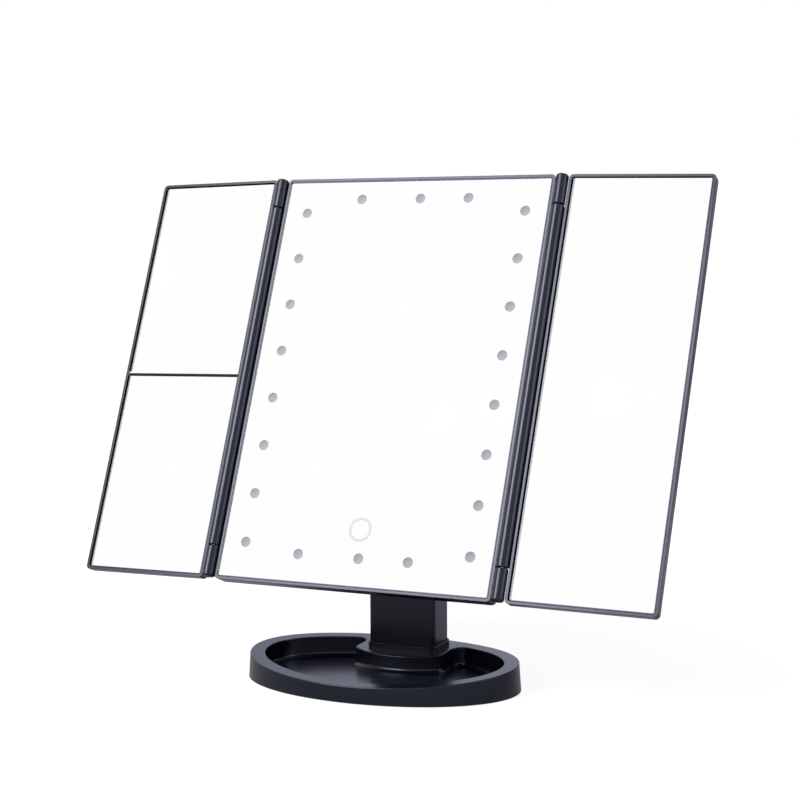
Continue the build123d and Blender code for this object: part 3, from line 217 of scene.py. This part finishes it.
def add(tree, kind, settings=None, inputs=None):
    """Adds one node with its settings, and sets or links its inputs."""
    node = tree.nodes.new(kind)
    for key, value in (settings or {}).items():
        setattr(node, key, value)
    join(tree, node, inputs or {})
    return node


def new_material(name, constants):
    """Node material with constants on its shader; returns the material, its tree, its shader and
    the coordinates of the object that wears it."""
    material = bpy.data.materials.new(name)
    material.use_nodes = True
    tree = material.node_tree
    shader = tree.nodes["Principled BSDF"]
    join(tree, shader, constants)
    return material, tree, shader, add(tree, "ShaderNodeTexCoord").outputs["Object"]


def vary(tree, shader, pattern, low, high, rough=None, start=0.3, end=0.7):
    """Takes a shader's colour from one hex code to another while a pattern rises from start to end,
    and its roughness from one value to another while the pattern rises from 0 to 1."""
    share = add(tree, "ShaderNodeMapRange",
                inputs={"Value": pattern, "From Min": start, "From Max": end})
    colour = add(tree, "ShaderNodeMix", {"data_type": "RGBA"},
                 {"Factor": share, "A": linear(low), "B": linear(high)})
    join(tree, shader, {"Base Color": colour})
    if rough:
        spread = add(tree, "ShaderNodeMapRange",
                     inputs={"Value": pattern, "To Min": rough[0], "To Max": rough[1]})
        join(tree, shader, {"Roughness": spread})


# ---- Materials ----

def satin_moulded_abs():
    """Injection-moulded ABS from a finely spark-eroded mould: blue-black, with a soft satin sheen
    that turns pale at a grazing look and breaks up a little where the skin cooled unevenly. Its
    edges are softened by the mould's own small radius, so they catch a thin line of light. The
    eroded grain is a few hundredths of a millimetre in truth, and is drawn at 0.6 mm so that it
    shows."""
    material, tree, shader, place = new_material("satin_moulded_abs", {
        "IOR": 1.54, "Specular IOR Level": 0.38, "Specular Tint": linear("#E4E6FF")})
    skin = add(tree, "ShaderNodeTexNoise",
               inputs={"Vector": place, "Scale": 1 / (45 * MM), "Detail": 3.0})
    grain = add(tree, "ShaderNodeTexNoise",
                inputs={"Vector": place, "Scale": 1 / (0.6 * MM), "Detail": 2.0})
    vary(tree, shader, skin, "#060B13", "#080E18", rough=(0.21, 0.27))
    edges = add(tree, "ShaderNodeBevel", {"samples": 6}, {"Radius": 0.4 * MM})
    bump = add(tree, "ShaderNodeBump", inputs={
        "Height": grain, "Strength": 0.03, "Distance": 0.05 * MM, "Normal": edges})
    join(tree, shader, {"Normal": bump})
    return material


def silvered_float_glass():
    """Silvered float glass: an even, almost colourless mirror."""
    material, tree, shader, place = new_material("silvered_float_glass", {"Metallic": 1.0})
    haze = add(tree, "ShaderNodeTexNoise",
               inputs={"Vector": place, "Scale": 1 / (60 * MM), "Detail": 2.0})
    vary(tree, shader, haze, "#FDFDFE", "#FFFFFF", rough=(0.005, 0.012))
    return material


def etched_window_glass():
    """Acid-etched windows in the silvering: lavender grey with a fine frost, and a painted shadow
    darker towards the upper left, for the shadow that the edge of the silvering throws on the frost
    behind the glass. The frost is much finer in truth, and is drawn at 1.1 mm so that it shows.
    pattern = 0.3 frost + shade."""
    material, tree, shader, place = new_material("etched_window_glass", {
        "IOR": 1.5, "Specular IOR Level": 0.3, "Roughness": 0.6})
    frost = add(tree, "ShaderNodeTexNoise",
                inputs={"Vector": place, "Scale": 1 / (1.1 * MM), "Detail": 3.0})
    shade = add(tree, "ShaderNodeAttribute", {"attribute_name": "shade"}).outputs["Fac"]
    pattern = add(tree, "ShaderNodeMath", {"operation": "MULTIPLY_ADD"},
                  {0: frost, 1: 0.3, 2: shade})
    vary(tree, shader, pattern, "#8F8D98", "#BCBBC5", start=0.2, end=1.0)
    return material


def etched_line_glass():
    """Etched line of the touch mark: paler than the windows, with the same frost."""
    material, tree, shader, place = new_material("etched_line_glass", {
        "IOR": 1.5, "Specular IOR Level": 0.1, "Roughness": 0.8})
    frost = add(tree, "ShaderNodeTexNoise",
                inputs={"Vector": place, "Scale": 1 / (0.8 * MM), "Detail": 3.0})
    vary(tree, shader, frost, "#DDDDE2", "#E7E7EB")
    return material


def ground_edge_and_painted_highlight():
    """Ground edge of float glass, and painted highlight: a dull pale band."""
    material, tree, shader, place = new_material("ground_edge_and_painted_highlight", {
        "IOR": 1.52, "Specular IOR Level": 0.4})
    grind = add(tree, "ShaderNodeTexNoise",
                inputs={"Vector": place, "Scale": 1 / (1.5 * MM), "Detail": 3.0})
    vary(tree, shader, grind, "#9FA1A8", "#B4B7BC", rough=(0.4, 0.6))
    return material


def plain_material(name, low, high, grain_mm, rough, constants, relief=0.0):
    """Shared pattern of the small parts: two close colours and two roughness values over one noise,
    with a slight relief if given. Grains finer than about a millimetre are drawn coarser than they
    are, so that they show."""
    material, tree, shader, place = new_material(name, constants)
    grain = add(tree, "ShaderNodeTexNoise",
                inputs={"Vector": place, "Scale": 1 / (grain_mm * MM), "Detail": 4.0})
    vary(tree, shader, grain, low, high, rough)
    if relief:
        bump = add(tree, "ShaderNodeBump",
                   inputs={"Height": grain, "Strength": relief, "Distance": 0.1 * MM})
        join(tree, shader, {"Normal": bump})
    return material


MATERIALS = {
    "black_abs": satin_moulded_abs(),
    "mirror_glass": silvered_float_glass(),
    # Moulded thermoplastic rubber: deep grey and dull.
    "rubber": plain_material(
        "moulded_rubber", "#151515", "#1C1C1D", 1.2, (0.7, 0.85), {"IOR": 1.52}, relief=0.15),
    # Zinc-plated drawn steel: cool grey with a soft, slightly uneven shine.
    "steel": plain_material(
        "zinc_plated_steel", "#A9ABAE", "#BDBFC2", 2.0, (0.22, 0.36), {"Metallic": 1.0}),
    # Turned nylon in its natural colour: milky and slightly waxy.
    "nylon": plain_material(
        "turned_nylon", "#DAD6C8", "#E4E0D4", 3.0, (0.4, 0.55), {"IOR": 1.53}),
    # Glass-fibre laminate under white solder mask: off-white with a low gloss.
    "circuit_board": plain_material(
        "solder_masked_laminate", "#DDE0DC", "#EAECE8", 0.9, (0.3, 0.45), {"IOR": 1.55}),
    # Moulded lamp package with a yellow phosphor fill: cream to yellow, half gloss.
    "led_package": plain_material(
        "phosphor_filled_lamp", "#E8D46A", "#F1E9C0", 1.6, (0.35, 0.5), {"IOR": 1.5}),
    # Carbon-loaded foam, cut: warm dark grey, open and dull.
    "conductive_foam": plain_material(
        "cut_carbon_foam", "#3A3836", "#57534F", 0.7, (0.7, 0.9), {"IOR": 1.5}, relief=0.3),
    # Nickel-plated sheet steel: bright and warm.
    "plated_steel": plain_material(
        "nickel_plated_steel", "#B7B2A9", "#CCC8BF", 2.5, (0.14, 0.24), {"Metallic": 1.0}),
    # Shrink sleeve on a steel can: dark grey with a thin gloss.
    "battery_wrap": plain_material(
        "shrunk_sleeve", "#2A3036", "#343B42", 9.0, (0.2, 0.3), {"IOR": 1.5}),
}
PLASTIC, GLASS = "black_abs", "mirror_glass"

slots = {part["node"]: part["material_slot"] for part in frame["record"]["subparts"]}
for node_name, slot_name in slots.items():
    thing = frame["nodes"][node_name]
    thing.data.materials.clear()
    thing.data.materials.append(MATERIALS[slot_name])


# ---- Details on the glass ----

def window_places():
    """Middle of each lamp window: two columns and two rows."""
    places = [(x, height) for x, low in zip(COLUMN_X, COLUMN_LOW)
              for height in np.linspace(low, COLUMN_HIGH, COLUMN_COUNT)]
    return np.array(places + [(x, height) for height in ROW_HEIGHTS for x in ROW_X])


def lamp_windows():
    """Round etched windows. Each is a low dome over radius r, from 1 at the rim to 0, and angle t:
    across = x + R r cos t, up = z + R r sin t, and it stands out by SKIN * (1 - r^4); a flat disc
    closes it below. With l the distance r cos(t - LIGHT_FROM) towards the shaded part of the rim,
    shade = 0.45 - 0.3 l - 0.35 max(l - 0.45, 0) and no less than 0."""
    radii = np.concatenate([[0.0], np.linspace(1.0, 0.0, WINDOW_RINGS)])[:, None]
    out = SKIN * (1 - radii ** 4)
    out[0] = 0.0
    turns = np.linspace(0, 2 * math.pi, WINDOW_STEPS, endpoint=False)[None, :]
    toward_light = radii * np.cos(turns - math.radians(LIGHT_FROM))
    # Painted shadow: each window's colour turns darker along its rim towards LIGHT_FROM.
    shade = np.clip(0.45 - 0.3 * toward_light - 0.35 * np.clip(toward_light - 0.45, 0, 1), 0, 1)
    faces = grid_faces(*toward_light.shape, close_columns=True)
    places = window_places()
    points, quads = [], []
    for index, (x, z) in enumerate(places):
        across = x + WINDOW_RADIUS * radii * np.cos(turns)
        up = z + WINDOW_RADIUS * radii * np.sin(turns)
        points.append(on_glass(across, up, out + LIFT).reshape(-1, 3))
        quads.append(faces + index * shade.size)
    return make_piece("lamp_windows", np.concatenate(points), np.concatenate(quads), "head",
                      etched_window_glass(), np.tile(shade.ravel(), len(places)))


def touch_mark():
    """Thin ring: a shallow arch carried round a circle. At angle t and arch angle a, the radius is
    R + w cos a, w being half the line's width, and the ring stands out by SKIN sin a."""
    turns = np.linspace(0, 2 * math.pi, TOUCH_STEPS, endpoint=False)[:, None]
    arch = np.linspace(0, math.pi, ARCH_STEPS)[None, :]
    radius = TOUCH_RADIUS + TOUCH_LINE * np.cos(arch)
    across = TOUCH_X + radius * np.cos(turns)
    up = TOUCH_HEIGHT + radius * np.sin(turns)
    points = on_glass(across, up, SKIN * np.sin(arch) + LIFT)
    faces = grid_faces(TOUCH_STEPS, ARCH_STEPS, close_rows=True, close_columns=True)
    return make_piece("touch_mark", points, faces, "head", etched_line_glass())


def rounded_oblong(x_range, z_range, radius):
    """Points round an oblong with rounded corners, anticlockwise from its right side: each corner's
    arc is centre + radius (cos t, sin t)."""
    points = []
    corners = ((1, 1), (-1, 1), (-1, -1), (1, -1))
    for quarter, (right, top) in enumerate(corners):
        x = (x_range[1] - radius) if right > 0 else (x_range[0] + radius)
        z = (z_range[1] - radius) if top > 0 else (z_range[0] + radius)
        turns = np.linspace(quarter, quarter + 1, CORNER_STEPS) * math.pi / 2
        points.append(np.stack([x + radius * np.cos(turns), z + radius * np.sin(turns)], axis=-1))
    return np.concatenate(points)


def border(name, panel, x_range, z_range, section, material, slot, ring=True):
    """Closed ring in the shape of a picture frame round an oblong on a panel. Each corner of its
    cross section is one rounded loop: how far it lies inside the oblong's left, top, right and
    bottom edges, and how far it stands out from the glass face. Without ring, the first and last
    loop have shrunk to the middle and the shape is a closed plate."""
    body, side, turn = PANELS[panel]
    loops = []
    for (left, top, right, bottom), out in section:
        x_ends = (x_range[0] + left, x_range[1] - right)
        z_ends = (z_range[0] + bottom, z_range[1] - top)
        room = min(x_ends[1] - x_ends[0], z_ends[1] - z_ends[0]) / 2
        radius = min(GLASS_CORNER - min(left, top, right, bottom), room)
        x, z = rounded_oblong(x_ends, z_ends, radius).T
        loops.append(on_glass(x, z, out, side, turn))
    faces = grid_faces(len(loops), len(loops[0]), close_rows=ring, close_columns=True)
    return make_piece(name, np.concatenate(loops), faces, body, material)


def plate(z_range, low, high):
    """Cross section of a thin flat plate over a height range, from low to high off the glass."""
    edge, middle = (0.0,) * 4, ((z_range[1] - z_range[0]) / 2,) * 4
    return ((middle, low), (edge, low), (edge, high), (middle, high))


def lip(left, top, right, bottom):
    """Cross section of a frame's inner lip, which closes the gap to the glass along each edge that
    is given as 1 and not along one that is given as 0."""
    outer = tuple(-SEAT_GAP * edge for edge in (left, top, right, bottom))
    inner = tuple(LIP_LAP * edge for edge in (left, top, right, bottom))
    return ((outer, -LIP_DEPTH), (outer, BEZEL_PROUD), (inner, BEZEL_PROUD), (inner, -LIP_DEPTH))


def band(start, width):
    """Cross section of a shallow arch: from the distances start inside the edges, over a width
    that is given for each edge, it rises by SKIN sin a while it crosses by (1 - cos a) / 2 of the
    width."""
    section = []
    for a in np.linspace(0, math.pi, ARCH_STEPS):
        across = (1 - math.cos(a)) / 2
        inside = tuple(s + w * across for s, w in zip(start, width))
        section.append((inside, LIFT + SKIN * math.sin(a)))
    return section


tall = (EDGE, EDGE + GLASS_HEIGHT)
inner_x, outer_x = SIDE_GLASS_START, SIDE_GLASS_START + SIDE_GLASS_WIDTH
centre_glass = ("centre", (-GLASS_WIDTH / 2, GLASS_WIDTH / 2), tall)
left_glass = ("left", (-outer_x, -inner_x), tall)
right_glass = ("right", (inner_x, outer_x), tall)
plastic = MATERIALS[PLASTIC]
pale = ground_edge_and_painted_highlight()
# Painted shade, a dull black line: inside the side glasses' edges and on the cross bar.
dark = plain_material("painted_line_shade_black", "#060608", "#0B0B0E", 1.5, (0.6, 0.8),
                      {"IOR": 1.5, "Specular IOR Level": 0.2})

lamp_windows()
touch_mark()
border("centre_lip", *centre_glass, lip(0, 1, 1, 1), plastic, PLASTIC)
border("left_lip", *left_glass, lip(0, 0, 1, 1), plastic, PLASTIC)
border("right_lip", *right_glass, lip(0, 0, 1, 1), plastic, PLASTIC)
# Pale band over the gap at the centre glass's left edge: painted highlight.
border("centre_edge", *centre_glass, band((-SEAT_GAP, 0, 0, 0), (SEAT_GAP, 0, 0, 0)), pale, GLASS)
# Painted shade inside the side glasses' edges; the pale bands beside it are partly painted highlight.
border("left_edge_shade", *left_glass, band((0, 0, 0, 0), LEFT_SHADE), dark, GLASS)
border("left_edge", *left_glass, band((LEFT_SHADE[0], 0, 0, 0), (SEAM, 0, 0, 0)), pale, GLASS)
border("right_edge_shade", *right_glass, band((0, 0, 0, 0), RIGHT_SHADE), dark, GLASS)
border("right_edge", *right_glass, band((RIGHT_SHADE[0], 0, 0, 0), (SEAM, 0, 0, 0)), pale, GLASS)

# The left panel's cross bar reads as one black line: painted shade on its face, and the upper glass's edge
# above.
bar_front = BEZEL_PROUD + LIFT
bar_face = (DIVIDER_LOW, DIVIDER_LOW + DIVIDER_LINE)
glass_lap = (bar_face[1], DIVIDER_MIDDLE + DIVIDER_GAP / 2)
border("divider_face", "left", left_glass[1], bar_face,
       plate(bar_face, bar_front, bar_front + SKIN), dark, PLASTIC, ring=False)
upper_lap = border("upper_glass_lap", "left", left_glass[1], glass_lap,
                   plate(glass_lap, bar_front, bar_front + SKIN), MATERIALS[GLASS], GLASS,
                   ring=False)


# ---- Studio ----

def white_studio_world():
    """White room for the camera and through glass, with a dimmer even light on the object. In
    reflections it is white less right * rear, the two dimmings towards the right and the rear, and
    a little cooler towards the rear."""
    world = bpy.data.worlds.new("white_studio")
    bpy.context.scene.world = world
    world.use_nodes = True
    tree = world.node_tree
    rays = add(tree, "ShaderNodeLightPath").outputs
    direction = add(tree, "ShaderNodeTexCoord").outputs["Generated"]
    toward = add(tree, "ShaderNodeSeparateXYZ", inputs={"Vector": direction}).outputs
    right = add(tree, "ShaderNodeMapRange", inputs={"Value": toward["X"], **ROOM_RIGHT})
    rear = add(tree, "ShaderNodeMapRange", inputs={"Value": toward["Y"], **ROOM_REAR})
    dim = add(tree, "ShaderNodeMath", {"operation": "MULTIPLY"}, {0: right, 1: rear})
    mirrored = add(tree, "ShaderNodeMath", {"operation": "SUBTRACT"},
                   {0: rays["Is Glossy Ray"], 1: dim})
    seen = add(tree, "ShaderNodeMath", {"operation": "MAXIMUM"},
               {0: rays["Is Camera Ray"], 1: mirrored})
    seen = add(tree, "ShaderNodeMath", {"operation": "MAXIMUM"},
               {0: seen, 1: rays["Is Transmission Ray"]})
    strength = add(tree, "ShaderNodeMapRange",
                   inputs={"Value": seen, "To Min": FILL_LIGHT, "To Max": 1.0})
    cool = add(tree, "ShaderNodeMath", {"operation": "MULTIPLY"},
               {0: rear, 1: rays["Is Glossy Ray"]})
    colour = add(tree, "ShaderNodeMix", {"data_type": "RGBA"},
                 {"Factor": cool, "A": linear("#FFFFFF"), "B": linear(COOL_WHITE)})
    join(tree, tree.nodes["Background"], {"Color": colour, "Strength": strength})


def white_floor():
    """White floor that keeps a faint shadow: one part is lit, and the other glows so that the
    camera sees white. In reflections and through glass it glows by near * far * right, or by front
    where that is more: dim beside the object, brightest a little behind it, dimmer further away and
    to the right, and bright again well in front. Behind the object, what is reflected is a little
    cooler."""
    material = bpy.data.materials.new("painted_white_floor")
    material.use_nodes = True
    tree = material.node_tree
    tree.nodes.clear()
    rays = add(tree, "ShaderNodeLightPath").outputs
    place = add(tree, "ShaderNodeTexCoord").outputs["Object"]
    axes = add(tree, "ShaderNodeSeparateXYZ", inputs={"Vector": place}).outputs
    near = add(tree, "ShaderNodeMapRange", inputs={"Value": axes["Y"], **FLOOR_NEAR})
    far = add(tree, "ShaderNodeMapRange", inputs={"Value": axes["Y"], **FLOOR_FAR})
    right = add(tree, "ShaderNodeMapRange", inputs={"Value": axes["X"], **FLOOR_RIGHT})
    front = add(tree, "ShaderNodeMapRange", inputs={"Value": axes["Y"], **FLOOR_FRONT})
    room = add(tree, "ShaderNodeMath", {"operation": "MULTIPLY"}, {0: near, 1: far})
    room = add(tree, "ShaderNodeMath", {"operation": "MULTIPLY"}, {0: room, 1: right})
    room = add(tree, "ShaderNodeMath", {"operation": "MAXIMUM"}, {0: room, 1: front})
    mirrored = add(tree, "ShaderNodeMath", {"operation": "MAXIMUM"},
                   {0: rays["Is Glossy Ray"], 1: rays["Is Transmission Ray"]})
    mirrored = add(tree, "ShaderNodeMath", {"operation": "MULTIPLY"}, {0: mirrored, 1: room})
    away = add(tree, "ShaderNodeVectorMath", {"operation": "LENGTH"}, {0: place}).outputs["Value"]
    direct = add(tree, "ShaderNodeMapRange", inputs={"Value": away, **FLOOR_SEEN})
    direct = add(tree, "ShaderNodeMath", {"operation": "MULTIPLY"},
                 {0: rays["Is Camera Ray"], 1: direct})
    lift = add(tree, "ShaderNodeMath", {"operation": "MAXIMUM"}, {0: direct, 1: mirrored})
    behind = add(tree, "ShaderNodeMapRange", inputs={"Value": axes["Y"], **FLOOR_COOL})
    cool = add(tree, "ShaderNodeMath", {"operation": "MULTIPLY"},
               {0: behind, 1: rays["Is Glossy Ray"]})
    colour = add(tree, "ShaderNodeMix", {"data_type": "RGBA"},
                 {"Factor": cool, "A": linear(FLOOR_WHITE), "B": linear(COOL_WHITE)})
    glow = add(tree, "ShaderNodeEmission", inputs={"Color": colour, "Strength": lift})
    lit = add(tree, "ShaderNodeBsdfDiffuse", inputs={"Color": linear(FLOOR_GREY)})
    both = add(tree, "ShaderNodeAddShader", inputs={0: glow, 1: lit})
    add(tree, "ShaderNodeOutputMaterial", inputs={"Surface": both})
    signs = ((-1, -1), (1, -1), (1, 1), (-1, 1))
    corners = [(x * FLOOR_REACH, y * FLOOR_REACH, 0) for x, y in signs]
    mesh = bpy.data.meshes.new("floor")
    mesh.from_pydata(corners, [], [(0, 1, 2, 3)])
    floor = bpy.data.objects.new("floor", mesh)
    bpy.context.collection.objects.link(floor)
    mesh.materials.append(material)


def softbox(name, direction, distance, width, height, radiance, left_out):
    """Oblong area lamp that faces the object from a direction, bright by its radiance. The pieces
    left out don't show it: the mirrors show only the white room, so that fine lines on them stay
    clean."""
    lamp = bpy.data.lights.new(name, "AREA")
    lamp.shape = "RECTANGLE"
    lamp.size = width
    lamp.size_y = height
    lamp.energy = radiance * math.pi * width * height
    thing = bpy.data.objects.new(name, lamp)
    bpy.context.collection.objects.link(thing)
    direction = Vector(direction).normalized()
    place = (CAD_BOX[0] + CAD_BOX[1]) / 2 + direction * distance
    turn = direction.to_track_quat("Z", "Y").to_matrix().to_4x4()
    thing.matrix_world = Matrix.Translation(place) @ turn
    shut_out = bpy.data.collections.new(name + "_left_out")
    for piece in left_out:
        shut_out.objects.link(piece)
    for member in shut_out.collection_objects:
        member.light_linking.link_state = "EXCLUDE"
    thing.light_linking.receiver_collection = shut_out


def studio_camera():
    """Camera turned by yaw about the upright, then pitched, then rolled about its own line of
    sight."""
    data = bpy.data.cameras.new("camera")
    data.sensor_width = SENSOR
    data.lens = FOCAL_IN_WIDTHS * SENSOR
    data.shift_y = SHIFT_UP
    camera = bpy.data.objects.new("camera", data)
    bpy.context.collection.objects.link(camera)
    yaw = Matrix.Rotation(math.radians(CAMERA_YAW), 4, "Z")
    pitch = Matrix.Rotation(math.radians(90 + CAMERA_PITCH), 4, "X")
    roll = Matrix.Rotation(math.radians(CAMERA_ROLL), 4, "Z")
    camera.matrix_world = Matrix.Translation(CAMERA_PLACE) @ yaw @ pitch @ roll
    bpy.context.scene.camera = camera


white_studio_world()
white_floor()
mirrors = [frame["nodes"][node] for node, slot in slots.items() if slot == GLASS] + [upper_lap]
softbox("key_softbox", direction=(-0.40, -0.70, 0.58), distance=2.5, width=1.4, height=1.16,
        radiance=11.8, left_out=mirrors)
softbox("side_softbox", direction=(0.93, -0.05, 0.33), distance=2.0, width=0.9, height=0.9,
        radiance=2.7, left_out=mirrors)
studio_camera()
bpy.context.scene.view_settings.view_transform = "Standard"
